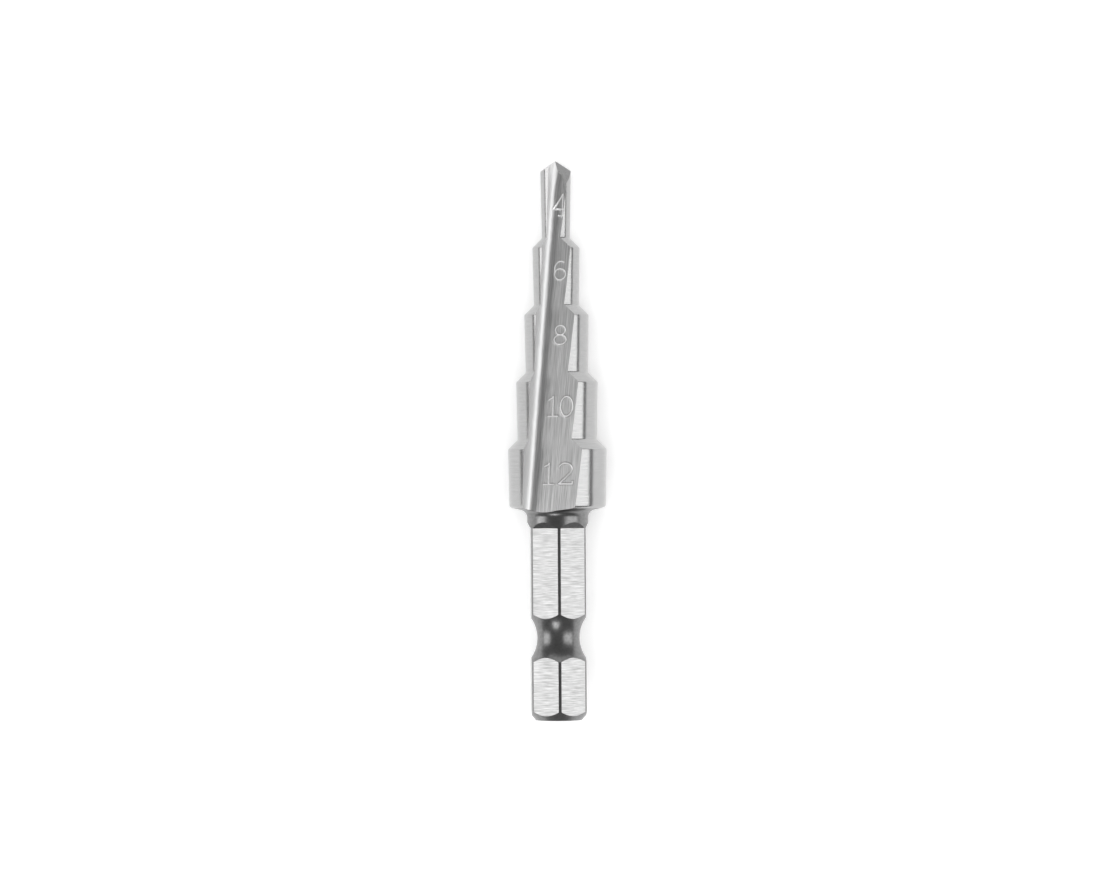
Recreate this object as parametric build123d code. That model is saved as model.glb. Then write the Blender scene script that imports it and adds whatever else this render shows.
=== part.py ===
from build123d import *
import os
from math import cos, radians, sin, tan

# A one-piece step drill for 4 to 12 mm holes in sheet metal, on a quarter-inch hex shank.
# It is modelled upright: the axis is Z, the shank's end face is at zero and the point is on top.
# Azimuths are degrees about that axis, from +X. The first flute opens towards -Y, and seen from
# the point the drill cuts counter-clockwise. Last, it is laid down as it comes to rest on a table.
# Lengths are millimetres.

# Lengths along the axis
OVERALL_LENGTH = 65.2
BODY_START = 24.9
STEP_PITCH = 7.83

# Steps: the hole sizes, and the ground form between them
STEP_COUNT = 5
SMALLEST_DIAMETER = 4.0
DIAMETER_RISE = 2.0
STEP_CONE_ANGLE = 90.0
BACK_TAPER = 1.1
STEP_ROOT_ROUND = 0.2
STEP_RIM_ROUND = 0.12

# Relief: each land is turned about an axis beside the drill's own, so it falls away behind its edge
RELIEF_OFFSET = 0.246
RELIEF_LEAD = 30.0
EDGE_AZIMUTH = -118.0

# Back of the body, behind the largest step
BACK_FACE_SLOPE = 12.5
BACK_FLARE_RADIUS = 0.9
BACK_RIM_ROUND = 0.35

# Flutes: straight vee grooves that slant across the body and run out above the neck
FLUTE_AZIMUTH = -114.0
FLUTE_VEE_ANGLE = 90.0
FLUTE_CORNER_RADIUS = 1.15
WEB_THICKNESS = 0.44
WALL_AHEAD_AT_POINT = 0.04
WALL_BEHIND_AT_BACK = 2.08
RUN_OUT_CLEARANCE = 0.2

# Point: a flank behind each lip, and a notch before it that splits the web
POINT_ANGLE = 135.0
FLANK_CLEARANCE = 28.0
NOTCH_AZIMUTH = -63.0
NOTCH_LEAN = 28.0
NOTCH_VEE_ANGLE = 119.0
NOTCH_ROLL = 23.0

# Shank: a round bar with milled flats, a waist for the chuck's ball and a chamfered end
BAR_DIAMETER = 7.14
SHANK_ACROSS_FLATS = 6.35
FLAT_COUNT = 6
FLAT_LENGTH = 22.4
FLAT_RUN_OUT_ANGLE = 30.0
FIRST_CORNER_AZIMUTH = -87.6
WAIST_HEIGHT = 9.6
WAIST_DIAMETER = 4.94
WAIST_ARC_RADIUS = 4.0
END_FACE_DIAMETER = 5.4
END_CHAMFER_STEEPNESS = 50.0

# How finely the resting position is searched
OUTLINE_POINTS = 13
SEARCH_SPAN = 16.0
SEARCH_ROUNDS = 14

bar_radius = BAR_DIAMETER / 2
largest_radius = (SMALLEST_DIAMETER + (STEP_COUNT - 1) * DIAMETER_RISE) / 2
apex = Vector(0, 0, OVERALL_LENGTH)
reach = 2 * largest_radius  # cutters go this far, which is clear of the metal


def rise(degrees):
    """How far a line climbs for each millimetre it runs."""
    return tan(radians(degrees))


def heading(azimuth):
    """Unit vector that points level in an azimuth."""
    return Vector(cos(radians(azimuth)), sin(radians(azimuth)), 0)


def opposite(shape):
    """The shape turned half round the drill's axis."""
    return Rot(0, 0, 180) * shape


def corners_at(face, places):
    """The corners of a flat face that lie at the given places."""
    return [min(face.vertices(), key=lambda corner: (Vector(corner) - place).length) for place in places]


def flat_face(outline):
    """A flat face in the XY plane inside an outline of straight lines."""
    return make_face(Polyline(*outline, close=True))


def vee(bisector, angle, size):
    """A triangle with its corner at the origin that opens about a bisector."""
    arms = [heading(bisector + side * angle / 2) * size for side in (-1, 1)]
    return flat_face([Vector(0, 0), *arms])


def step_cone_height():
    """Height of the cone below a step, which spans the rise in radius and the taper of one step."""
    taper = rise(BACK_TAPER)
    return (DIAMETER_RISE / 2 + taper * STEP_PITCH) / (rise(STEP_CONE_ANGLE / 2) + taper)


def land_profile():
    """Half section of the stock with its steps, measured from the axis that a land is turned about."""
    roots = []
    rims = []
    outline = [Vector(0, 0)]
    for step in range(STEP_COUNT):
        nominal = largest_radius - step * DIAMETER_RISE / 2
        radius = nominal - RELIEF_OFFSET * cos(radians(RELIEF_LEAD))
        bottom = BODY_START + step * STEP_PITCH
        top = bottom + STEP_PITCH - step_cone_height()
        foot_height = 0 if step == 0 else bottom
        head_height = OVERALL_LENGTH + reach if step == STEP_COUNT - 1 else top
        foot = Vector(radius - (top - foot_height) * rise(BACK_TAPER), foot_height)
        head = Vector(radius + (head_height - top) * rise(BACK_TAPER), head_height)
        outline += [foot, head]
        if step > 0:
            roots.append(foot)
        if step < STEP_COUNT - 1:
            rims.append(head)
    outline.append(Vector(0, OVERALL_LENGTH + reach))
    profile = flat_face(outline)
    profile = fillet(corners_at(profile, roots), STEP_ROOT_ROUND)
    return fillet(corners_at(profile, rims), STEP_RIM_ROUND)


def back_cutter():
    """What is turned off behind the body: outside the bar, below the back face, with a flare at the neck."""
    inner = Vector(bar_radius, BODY_START - (largest_radius - bar_radius) * rise(BACK_FACE_SLOPE))
    outer = Vector(reach, BODY_START + (reach - largest_radius) * rise(BACK_FACE_SLOPE))
    profile = flat_face([inner, outer, Vector(reach, -reach), Vector(bar_radius, -reach)])
    profile = fillet(corners_at(profile, [inner]), BACK_FLARE_RADIUS)
    return revolve(Plane.XZ * profile, Axis.Z)


def land():
    """Half a turn of the stepped stock about its own axis, with its back turned off and the rim there rounded."""
    half = opposite(revolve(Plane.XZ * land_profile(), Axis.Z, revolution_arc=180))
    half = Pos(RELIEF_OFFSET, 0, 0) * half - back_cutter()
    rim = min(half.edges(), key=lambda edge: (edge @ 0.5 - Vector(0, -largest_radius, BODY_START)).length)
    return fillet(rim, BACK_RIM_ROUND)


def turned_stock():
    """The two lands and the bar, turned so that the relief leads the first cutting edge."""
    first = land()
    return Rot(0, 0, EDGE_AZIMUTH + RELIEF_LEAD) * (first + opposite(first))


def flute_corner(height):
    """Where the planes of the first flute's floor and wall meet, at a height on the axis."""
    share = (OVERALL_LENGTH - height) / (OVERALL_LENGTH - BODY_START)
    floor_out = WEB_THICKNESS / 2 * (1 - share) + (bar_radius + RUN_OUT_CLEARANCE) * share
    wall_out = WALL_AHEAD_AT_POINT * (1 - share) - WALL_BEHIND_AT_BACK * share
    floor_faces = heading(FLUTE_AZIMUTH)
    wall_faces = heading(FLUTE_AZIMUTH + 180 - FLUTE_VEE_ANGLE)
    spread = sin(radians(180 - FLUTE_VEE_ANGLE))
    x = (floor_out * wall_faces.Y - wall_out * floor_faces.Y) / spread
    y = (wall_out * floor_faces.X - floor_out * wall_faces.X) / spread
    return Vector(x, y, height)


def flute_cutter():
    """The first flute: a vee with a rounded corner, pushed along the slanting line of that corner."""
    section = vee(FLUTE_AZIMUTH + 90 - FLUTE_VEE_ANGLE / 2, FLUTE_VEE_ANGLE, 4 * reach)
    section = fillet(corners_at(section, [Vector(0, 0)]), FLUTE_CORNER_RADIUS)
    start = flute_corner(OVERALL_LENGTH + reach)
    travel = flute_corner(BODY_START - reach / 2) - start
    return extrude(Pos(start) * section, travel.length, dir=travel)


def flank_cutter():
    """Everything above the flank behind the first lip."""
    lip_fall = heading(EDGE_AZIMUTH) * rise(90 - POINT_ANGLE / 2)
    heel_fall = heading(EDGE_AZIMUTH - 90) * rise(FLANK_CLEARANCE)
    flank = Plane(origin=apex, z_dir=Vector(0, 0, 1) + lip_fall + heel_fall)
    return flank * Box(4 * reach, 4 * reach, 2 * reach, align=(Align.CENTER, Align.CENTER, Align.MIN))


def notch_cutter():
    """The notch before the first lip: a vee whose root runs from the apex down into the flute."""
    root = heading(NOTCH_AZIMUTH) * sin(radians(NOTCH_LEAN)) - Vector(0, 0, cos(radians(NOTCH_LEAN)))
    across = Plane(origin=apex - root * reach, x_dir=heading(NOTCH_AZIMUTH + 90), z_dir=root)
    return extrude(across * vee(90 - NOTCH_ROLL, NOTCH_VEE_ANGLE, 2 * reach), 3 * reach)


def flat_cutters():
    """What is milled off round the bar, each cut running out towards the neck."""
    inner = SHANK_ACROSS_FLATS / 2
    run_out = FLAT_LENGTH + (bar_radius - inner) / rise(FLAT_RUN_OUT_ANGLE)
    outer = [Vector(reach, -reach), Vector(reach, run_out), Vector(bar_radius, run_out)]
    side = [Vector(inner, -reach), *outer, Vector(inner, FLAT_LENGTH)]
    cut = extrude(Plane.XZ * flat_face(side), reach, both=True)
    spacing = 360 / FLAT_COUNT
    return [Rot(0, 0, FIRST_CORNER_AZIMUTH + spacing * (flat + 0.5)) * cut for flat in range(FLAT_COUNT)]


def waist_cutter():
    """A ring of round section that leaves the waist."""
    return Pos(0, 0, WAIST_HEIGHT) * Torus(WAIST_DIAMETER / 2 + WAIST_ARC_RADIUS, WAIST_ARC_RADIUS)


def end_cutter():
    """A ring that leaves the chamfer round the end face."""
    inner = END_FACE_DIAMETER / 2
    climb = (reach - inner) * rise(END_CHAMFER_STEEPNESS)
    profile = flat_face([Vector(inner, 0), Vector(reach, climb), Vector(reach, -reach), Vector(inner, -reach)])
    return revolve(Plane.XZ * profile, Axis.Z)


def upright_drill():
    """The drill in the order that it is made: turned, fluted and pointed, then milled at the shank."""
    drill = turned_stock()
    for cutter in (flute_cutter(), flank_cutter(), notch_cutter()):
        drill = drill - cutter - opposite(cutter)
    for cutter in (*flat_cutters(), waist_cutter(), end_cutter()):
        drill = drill - cutter
    return drill


def resting_place(drill):
    """Where the drill lies on a table: the way up, near the first flute's, in which its mass centre is lowest."""
    centre = drill.center(CenterOf.MASS)
    shares = [point / (OUTLINE_POINTS - 1) for point in range(OUTLINE_POINTS)]
    outline = [edge.position_at(share) - centre for edge in drill.edges() for share in shares]
    outline = [(point.X, point.Y, point.Z) for point in outline]

    def way_up(azimuth, lean):
        return heading(azimuth) * cos(radians(lean)) + Vector(0, 0, sin(radians(lean)))

    def height(aim):
        up = way_up(*aim)
        return -min(x * up.X + y * up.Y + z * up.Z for x, y, z in outline)

    best = (FIRST_CORNER_AZIMUTH, 0.0)
    span = SEARCH_SPAN
    for _ in range(SEARCH_ROUNDS):
        tries = [(best[0] + span * turn / 2, best[1] + span * tip / 2) for turn in range(-2, 3) for tip in range(-2, 3)]
        best = min(tries, key=height)
        span /= 2
    up = way_up(*best)
    table = Plane(origin=centre, x_dir=Vector(0, 0, 1).cross(up), z_dir=up)
    lying = table.location.inverse()
    box = (lying * drill).bounding_box()
    return Pos(-box.center().X, -box.center().Y, -box.min.Z) * lying


upright = upright_drill()
resting = resting_place(upright)
step_drill = resting * upright
print("resting place", resting)
os.makedirs("parts", exist_ok=True)
export_step(step_drill, "parts/step_drill.step")
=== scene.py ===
# %% [markdown]
# The imported CAD model is loaded first. It fixes where the drill lies and how large it is, so every
# piece below is worked out in the same frame and needs no fitting.

# %% Load the frame
import bmesh
import bpy
import numpy as np
from mathutils import Matrix


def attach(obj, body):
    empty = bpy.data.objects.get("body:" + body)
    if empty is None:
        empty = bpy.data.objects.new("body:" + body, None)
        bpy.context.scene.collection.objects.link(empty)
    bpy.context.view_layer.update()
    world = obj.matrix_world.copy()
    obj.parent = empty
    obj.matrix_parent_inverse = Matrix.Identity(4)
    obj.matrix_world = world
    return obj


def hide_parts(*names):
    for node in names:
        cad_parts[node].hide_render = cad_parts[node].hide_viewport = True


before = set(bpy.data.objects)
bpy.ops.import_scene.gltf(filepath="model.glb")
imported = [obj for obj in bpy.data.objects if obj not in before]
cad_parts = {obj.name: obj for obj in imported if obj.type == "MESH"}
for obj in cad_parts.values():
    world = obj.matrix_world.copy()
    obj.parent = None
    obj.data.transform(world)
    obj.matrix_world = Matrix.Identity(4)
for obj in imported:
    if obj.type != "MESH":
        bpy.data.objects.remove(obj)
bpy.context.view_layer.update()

print("nodes", sorted(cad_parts))

# %% [markdown]
# A drill is easiest to describe as its maker does: upright, with the axis along Z, the end of the
# shank at zero and the point on top, in millimetres. The tool lies on the table, so one turn and one
# shift carry every point from the maker's frame to the table. They are the ones that the CAD model
# came to rest with.

# %% From the maker's frame to the table
RESTING_PLACE_MM = (0.0, -32.5129, 6.00495)
TIP_DOWN_TURN = -92.4424
TURN_ABOUT_AXIS = 2.31387


def turn_matrix(axis, degrees):
    """A turn about X or Z: the two other coordinates mix by the cosine and the sine of the angle."""
    return np.array(Matrix.Rotation(np.radians(degrees), 3, axis))


lay_down = turn_matrix("X", TIP_DOWN_TURN) @ turn_matrix("Z", TURN_ABOUT_AXIS)


def on_table(points):
    """Place in metres: the turned point, plus the shift, divided by a thousand."""
    return (np.asarray(points, float) @ lay_down.T + RESTING_PLACE_MM) / 1000


print("camera side of the drill points to", np.round(lay_down @ (0, -1, 0), 3))

# %% [markdown]
# The camera comes next, because the picture fixes it: it looks straight at the numbered flute, from
# far enough away that the drill hardly tapers with distance. A long lens gives that. The picture is
# 1116 pixels wide and shows 8.57 pixels to the millimetre, and the drill leans a third of a degree.

# %% Camera
PICTURE_WIDTH = 1116
PIXELS_PER_MM = 8.57
SENSOR_WIDTH_MM = 36
CAMERA_DISTANCE_MM = 650.0
CAMERA_AIM_MM = (0.087, 0.0, 31.9)
PICTURE_LEAN = 0.37


def add_object(name, data):
    """Puts an object with its data into the scene."""
    thing = bpy.data.objects.new(name, data)
    bpy.context.scene.collection.objects.link(thing)
    return thing


def placed(axes, place):
    """World matrix from three axes, as the columns of a matrix, and a place in metres."""
    matrix = np.eye(4)
    matrix[:3, :3] = axes
    matrix[:3, 3] = place
    return Matrix(matrix)


lean = np.radians(PICTURE_LEAN)
picture_right = np.array((np.cos(lean), 0, -np.sin(lean)))
picture_up = np.array((np.sin(lean), 0, np.cos(lean)))
towards_camera = np.array((0, -1, 0))

camera_data = bpy.data.cameras.new("camera")
camera_data.sensor_width = SENSOR_WIDTH_MM
camera_data.lens = PIXELS_PER_MM * CAMERA_DISTANCE_MM / PICTURE_WIDTH * camera_data.sensor_width
camera_data.clip_start = 0.01
camera_data.clip_end = 20
camera = add_object("camera", camera_data)
camera.matrix_world = placed(lay_down @ np.column_stack((picture_right, picture_up, towards_camera)),
                             on_table(np.array(CAMERA_AIM_MM) + CAMERA_DISTANCE_MM * towards_camera))
bpy.context.scene.camera = camera
print("lens", round(camera_data.lens, 1), "mm")

# %% [markdown]
# These are the sizes of the drill, the same as in its CAD model. The steps cut holes of 4 to 12 mm.
# Each step is a little narrower at its lower end, so only its front corner rubs in the hole.

# %% Sizes of the drill, in millimetres and degrees
OVERALL_LENGTH = 65.2
BODY_START = 24.9
STEP_PITCH = 7.83
STEP_COUNT = 5
SMALLEST_RADIUS = 2.0
RADIUS_RISE = 1.0
BACK_TAPER = 1.1
STEP_ROOT_ROUND = 0.2
STEP_RIM_ROUND = 0.12
RELIEF_OFFSET = 0.246
RELIEF_LEAD = 30.0
EDGE_AZIMUTH = -118.0
BACK_FACE_SLOPE = 12.5
BACK_FLARE_RADIUS = 0.9
BACK_RIM_ROUND = 0.35
FLUTE_AZIMUTH = -114.0
FLUTE_VEE_ANGLE = 90.0
FLUTE_CORNER_RADIUS = 1.15
WEB_HALF = 0.22
WALL_AHEAD_AT_POINT = 0.04
WALL_BEHIND_AT_BACK = 2.08
RUN_OUT_CLEARANCE = 0.2
POINT_ANGLE = 135.0
FLANK_CLEARANCE = 28.0
NOTCH_AZIMUTH = -63.0
NOTCH_LEAN = 28.0
NOTCH_VEE_ANGLE = 119.0
NOTCH_ROLL = 23.0
BAR_RADIUS = 3.57
HALF_ACROSS_FLATS = 3.175
FLAT_LENGTH = 22.4
FLAT_RUN_OUT_ANGLE = 30.0
FIRST_CORNER_AZIMUTH = -87.6
WAIST_HEIGHT = 9.6
WAIST_RADIUS = 2.47
WAIST_ARC_RADIUS = 4.0
END_FACE_RADIUS = 2.7
END_CHAMFER_STEEPNESS = 50.0

LARGEST_RADIUS = SMALLEST_RADIUS + (STEP_COUNT - 1) * RADIUS_RISE


def slope(degrees):
    """How far a line climbs for each millimetre it runs: the tangent of its angle."""
    return np.tan(np.radians(degrees))


def heading(azimuth):
    """Level unit vector: the cosine and the sine of the azimuth."""
    azimuth = np.radians(azimuth)
    return np.stack((np.cos(azimuth), np.sin(azimuth)), axis=-1)


def azimuth_of(points):
    """Azimuth of each point about the drill's axis, in degrees."""
    return np.degrees(np.arctan2(points[..., 1], points[..., 0]))


print("steps from", 2 * SMALLEST_RADIUS, "to", 2 * LARGEST_RADIUS, "mm across")

# %% [markdown]
# A land is the outside of a step, between two flutes. It is turned about an axis a quarter of a
# millimetre beside the drill's own, so that the metal falls away behind its cutting edge. Its outline
# runs up one step, over a rounded rim, in along a 45 degree cone and round a small root into the next
# step. That outline becomes the rows of the grid, so the rims stay crisp with few faces.

# %% Outline of the lands


def rounded(before, corner, after, radius, count):
    """Arc that rounds a corner. It touches both lines at radius over the tangent of the half angle."""
    before, corner, after = (np.asarray(p, float) for p in (before, corner, after))
    u = (before - corner) / np.linalg.norm(before - corner)
    v = (after - corner) / np.linalg.norm(after - corner)
    half = np.arccos(np.clip(u @ v, -1, 1)) / 2
    centre = corner + (u + v) / np.linalg.norm(u + v) * radius / np.sin(half)
    start = corner + u * radius / np.tan(half) - centre
    end = corner + v * radius / np.tan(half) - centre
    first = np.arctan2(start[1], start[0])
    sweep = (np.arctan2(end[1], end[0]) - first + np.pi) % (2 * np.pi) - np.pi
    angle = first + sweep * np.linspace(0, 1, count)
    return centre + radius * np.stack((np.cos(angle), np.sin(angle)), axis=-1)


taper = slope(BACK_TAPER)
cone_height = (RADIUS_RISE + taper * STEP_PITCH) / (1 + taper)
shrink = RELIEF_OFFSET * np.cos(np.radians(RELIEF_LEAD))
step_index = np.arange(STEP_COUNT)
step_bottom = BODY_START + step_index * STEP_PITCH
step_top = step_bottom + STEP_PITCH - cone_height
step_radius = LARGEST_RADIUS - step_index * RADIUS_RISE - shrink

FIRST_LEVEL = 26.6
LAST_LEVEL = 61.6
LARGEST_STEP_LEVELS = np.array((FIRST_LEVEL, 28.2, 29.8, 31.1))
ABOVE_ROOT = 0.6
BELOW_RIM = 0.5
SIDE_LEVELS = 4
CONE_SHARES = np.array([[0.35], [0.6]])
ROUND_POINTS = 5


def side_radius(step, height):
    """Radius of a step at a height: its radius at the top, less the taper times the way down from there."""
    return step_radius[step] - (step_top[step] - height) * taper


def side_points(step, heights):
    """Points of a step's side at some heights."""
    return np.stack((side_radius(step, heights), heights), axis=-1)


outline = [side_points(0, LARGEST_STEP_LEVELS)]
for lower in range(STEP_COUNT - 1):
    upper = lower + 1
    rim = np.array((step_radius[lower], step_top[lower]))
    root = np.array((side_radius(upper, step_bottom[upper]), step_bottom[upper]))
    stop = LAST_LEVEL if upper == STEP_COUNT - 1 else step_top[upper] - BELOW_RIM
    outline += [rounded(rim - (taper, 1), rim, root, STEP_RIM_ROUND, ROUND_POINTS),
                rim + (root - rim) * CONE_SHARES,
                rounded(rim, root, root + (taper, 1), STEP_ROOT_ROUND, ROUND_POINTS),
                side_points(upper, np.linspace(step_bottom[upper] + ABOVE_ROOT, stop, SIDE_LEVELS))]
level_radius, level_height = np.concatenate(outline).T
print(len(level_height), "levels; they climb:", bool((np.diff(level_height) > 0).all()))


def land_radius(height):
    """Radius of a land about its own axis, from its outline, carried on along the last lines at both ends."""
    low, high = side_radius(0, height), side_radius(-1, height)
    middle = np.interp(height, level_height, level_radius)
    return np.where(height < FIRST_LEVEL, low, np.where(height > LAST_LEVEL, high, middle))


# %% [markdown]
# The back of the body is turned: a shallow cone, a flare where it meets the neck, and a rounded rim on
# the largest step. The flutes run out through this cone, so each column of the body's grid has to end
# exactly on it.

# %% Back face
CONE_REACH = 4
FLARE_POINTS = 25

back_climb = slope(BACK_FACE_SLOPE)
back_corner = np.array((BAR_RADIUS, BODY_START - (LARGEST_RADIUS - BAR_RADIUS) * back_climb))
flare = rounded((BAR_RADIUS, 0), back_corner, back_corner + (1, back_climb), BACK_FLARE_RADIUS, FLARE_POINTS)
back_rim = back_corner + (CONE_REACH, CONE_REACH * back_climb)
back_profile = np.vstack((flare, back_rim))


def back_height(radius):
    """Height of the back face at a distance from the axis: the flare's arc, then the cone's straight line."""
    return np.interp(radius, back_profile[:, 0], back_profile[:, 1])


def rim_cut(height, distance):
    """How far the rounded rim lies inside the land: radius less the cosine side of its quarter arc."""
    slant = np.radians(BACK_FACE_SLOPE)
    level = BODY_START + (distance - BACK_RIM_ROUND - LARGEST_RADIUS) * np.tan(slant)
    level = level + BACK_RIM_ROUND / np.cos(slant)
    drop = np.clip((level - height) / BACK_RIM_ROUND, 0, np.cos(slant))
    return BACK_RIM_ROUND * (1 - np.sqrt(1 - drop ** 2))


print("flare starts at", round(flare[0, 1], 2))

# %% [markdown]
# A flute is a vee groove with a floor, a wall and a rounded corner between them. It slants: near the
# point its floor almost reaches the axis, and at the back it has climbed above the neck. A level cut
# through the drill therefore has the same six pieces at every height: a hollow, which is the wall with
# the rounded corner, a floor and a land, and the same three turned half round. Each is a formula of the
# height and of a share from 0 to 1 along it.

# %% Level cuts through the body
RIM_REFINEMENTS = 3
LONGEST_RUN = 5.0
HALVINGS = 40

floor_faces = heading(FLUTE_AZIMUTH)
floor_runs = heading(FLUTE_AZIMUTH + 90)
wall_azimuth = FLUTE_AZIMUTH + 180 - FLUTE_VEE_ANGLE
wall_faces = heading(wall_azimuth)
land_centre = RELIEF_OFFSET * heading(EDGE_AZIMUTH + RELIEF_LEAD)


def share_down(height):
    """How far down the body a height is: 0 at the point and 1 at the back."""
    return (OVERALL_LENGTH - height) / (OVERALL_LENGTH - BODY_START)


def floor_distance(height):
    """Distance from the axis to the plane of the floor: from the half web at the point to outside the bar."""
    share = share_down(height)
    return WEB_HALF * (1 - share) + (BAR_RADIUS + RUN_OUT_CLEARANCE) * share


def wall_distance(height):
    """Distance from the axis to the plane of the wall: ahead of it at the point, behind it at the back."""
    share = share_down(height)
    return WALL_AHEAD_AT_POINT * (1 - share) - WALL_BEHIND_AT_BACK * share


def heel_angle(height):
    """Angle about the second land's axis where the floor's plane cuts it: the floor's azimuth, plus the arc
    cosine of the plane's distance over the radius. The rounded rim changes the radius, so it is refined."""
    away = floor_distance(height) + land_centre @ floor_faces
    radius = land_radius(height)

    def angle_for(reached):
        return FLUTE_AZIMUTH + np.degrees(np.arccos(np.clip(away / reached, -1, 1)))
    angle = angle_for(radius)
    for _ in range(RIM_REFINEMENTS):
        reach = np.linalg.norm(radius[..., None] * heading(angle) - land_centre, axis=-1)
        angle = angle_for(radius - rim_cut(height, reach))
    return angle


def land_point(centre, angle, height):
    """Point of a land: its own axis, plus its radius along the angle, less the rounded rim."""
    radius = land_radius(height)
    reach = np.linalg.norm(centre + radius[..., None] * heading(angle), axis=-1)
    return centre + (radius - rim_cut(height, reach))[..., None] * heading(angle)


def flute_corner(height):
    """Where the planes of floor and wall cross: both distances solved for the two coordinates."""
    spread = np.cos(np.radians(FLUTE_AZIMUTH - wall_azimuth))
    a, b = floor_distance(height), wall_distance(height)
    along_floor = (a - b * spread) / (1 - spread ** 2)
    along_wall = (b - a * spread) / (1 - spread ** 2)
    return along_floor[..., None] * floor_faces + along_wall[..., None] * wall_faces


def hollow_point(run, height):
    """Point of the flute's hollow, by its run from the floor: first round the corner's arc, by the run over
    its radius, then straight up the wall."""
    bisector = FLUTE_AZIMUTH + 90 - FLUTE_VEE_ANGLE / 2
    inwards = FLUTE_CORNER_RADIUS / np.sin(np.radians(FLUTE_VEE_ANGLE / 2))
    centre = flute_corner(height) + inwards * heading(bisector)
    arc_length = FLUTE_CORNER_RADIUS * np.radians(180 - FLUTE_VEE_ANGLE)
    turned = np.degrees(np.minimum(run, arc_length) / FLUTE_CORNER_RADIUS)
    arc_point = centre + FLUTE_CORNER_RADIUS * heading(FLUTE_AZIMUTH + 180 + turned)
    return arc_point + np.clip(run - arc_length, 0, None)[..., None] * heading(wall_azimuth - 90)


def halve(past, low, high):
    """Where a condition turns true between two arrays, by halving the gap between them again and again."""
    for _ in range(HALVINGS):
        middle = (low + high) / 2
        beyond = past(middle)
        high = np.where(beyond, middle, high)
        low = np.where(beyond, low, middle)
    return (low + high) / 2


def edge_run(height):
    """Run from the floor to the cutting edge, which is where the hollow leaves the land's circle."""
    def outside(run):
        point = hollow_point(run, height)
        reach = np.linalg.norm(point, axis=-1)
        return np.linalg.norm(point - land_centre, axis=-1) > land_radius(height) - rim_cut(height, reach)
    return halve(outside, np.zeros_like(height), np.full_like(height, LONGEST_RUN))


def hollow_piece(share, height):
    """Hollow: wall and rounded corner in one, from the cutting edge at share 0 to the floor at share 1."""
    return hollow_point((1 - share) * edge_run(height), height)


def floor_piece(share, height):
    """Floor: straight from the rounded corner to the heel of the next land."""
    heel = land_point(-land_centre, heel_angle(height), height)
    start = hollow_point(np.zeros_like(height), height)
    return start + share[..., None] * (heel - start)


def land_piece(share, height):
    """Land: an arc about its own axis, from its heel at share 0 to its cutting edge at share 1."""
    edge = hollow_point(edge_run(height), height) - land_centre
    last = azimuth_of(edge) + 180
    first = heel_angle(height)
    return land_point(-land_centre, first + share * (last - first), height)


pieces = {"hollow": hollow_piece, "floor": floor_piece, "land": land_piece}
middle = np.array([44.0])
print("cut at 44 mm:", {name: np.round(piece(np.zeros(1), middle)[0], 2) for name, piece in pieces.items()})

# %% [markdown]
# The point is ground: a flank behind each lip falls away from it, and a vee notch before each lip
# splits the web, so the drill centres itself. All six planes pass through the tip, so the point is a
# height over the level plane that grows in proportion to the distance from the axis.

# %% Planes of the point
CREASE_STEP = 0.005
CREASE_BEND = 1e-5


def notch_planes():
    """Climb in X and Y of both sides of the notch: each holds the notch's root and one arm of its vee, and
    the normal is the cross product of the two."""
    out = heading(NOTCH_AZIMUTH)
    lean = np.radians(NOTCH_LEAN)
    root = np.array((*(out * np.sin(lean)), -np.cos(lean)))
    across = np.array((*heading(NOTCH_AZIMUTH + 90), 0))
    beside = np.cross(root, across)
    planes = []
    for side in (-1, 1):
        arm = np.radians(90 - NOTCH_ROLL + side * NOTCH_VEE_ANGLE / 2)
        normal = np.cross(root, across * np.cos(arm) + beside * np.sin(arm))
        planes.append(-normal[:2] / normal[2])
    return planes


lip_fall = slope(90 - POINT_ANGLE / 2) * heading(EDGE_AZIMUTH)
flank_plane = -(lip_fall + slope(FLANK_CLEARANCE) * heading(EDGE_AZIMUTH - 90))
notch_sides = notch_planes()


def point_height(points):
    """Height of the point: the lowest of both flanks and both notches. A notch is the higher of its sides."""
    def climb(sign):
        flank = sign * points @ flank_plane
        notch = np.maximum(sign * points @ notch_sides[0], sign * points @ notch_sides[1])
        return np.minimum(flank, notch)
    return OVERALL_LENGTH + np.minimum(climb(1), climb(-1))


def crease_azimuths():
    """Azimuths at which the lowest plane changes, which is where the slope of the height jumps."""
    angle = np.linspace(-180, 180, round(360 / CREASE_STEP) + 1)[:-1]
    height = point_height(heading(angle))
    bend = np.roll(height, -1) - 2 * height + np.roll(height, 1)
    smooth = np.abs(height - OVERALL_LENGTH) * np.radians(CREASE_STEP) ** 2
    return angle[np.abs(np.abs(bend) - smooth) > CREASE_BEND]


creases = crease_azimuths()
print("flank", np.round(flank_plane, 3), "notch", np.round(notch_sides, 3), "creases", np.round(creases, 1))

# %% [markdown]
# Every column of the grid starts on the back face and ends on the point. Where it meets them is found
# by halving a span of heights for all columns at once. Columns are added where a crease of the point
# ends, so that the facets have straight, crisp borders.

# %% Where the columns start and end
TOP_SPAN = (60.0, 66.5)
BACK_SPAN = (23.0, 26.2)
TRIAL_SHARES = 4001
NEAR_CREASE = 5
CREASE_CLEARANCE = 0.3


def top_end(piece, share):
    """Height at which a column leaves the metal through the point."""
    low, high = (np.full(len(share), end) for end in TOP_SPAN)
    return halve(lambda height: height > point_height(piece(share, height)), low, high)


def back_end(piece, share):
    """Height at which a column leaves the metal through the back face."""
    def inside(height):
        return height > back_height(np.linalg.norm(piece(share, height), axis=-1))
    low, high = (np.full(len(share), end) for end in BACK_SPAN)
    return halve(inside, low, high)


def turn_from(base, azimuth):
    """Degrees from a base azimuth to another, the short way round."""
    return (azimuth - base + 180) % 360 - 180


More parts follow.
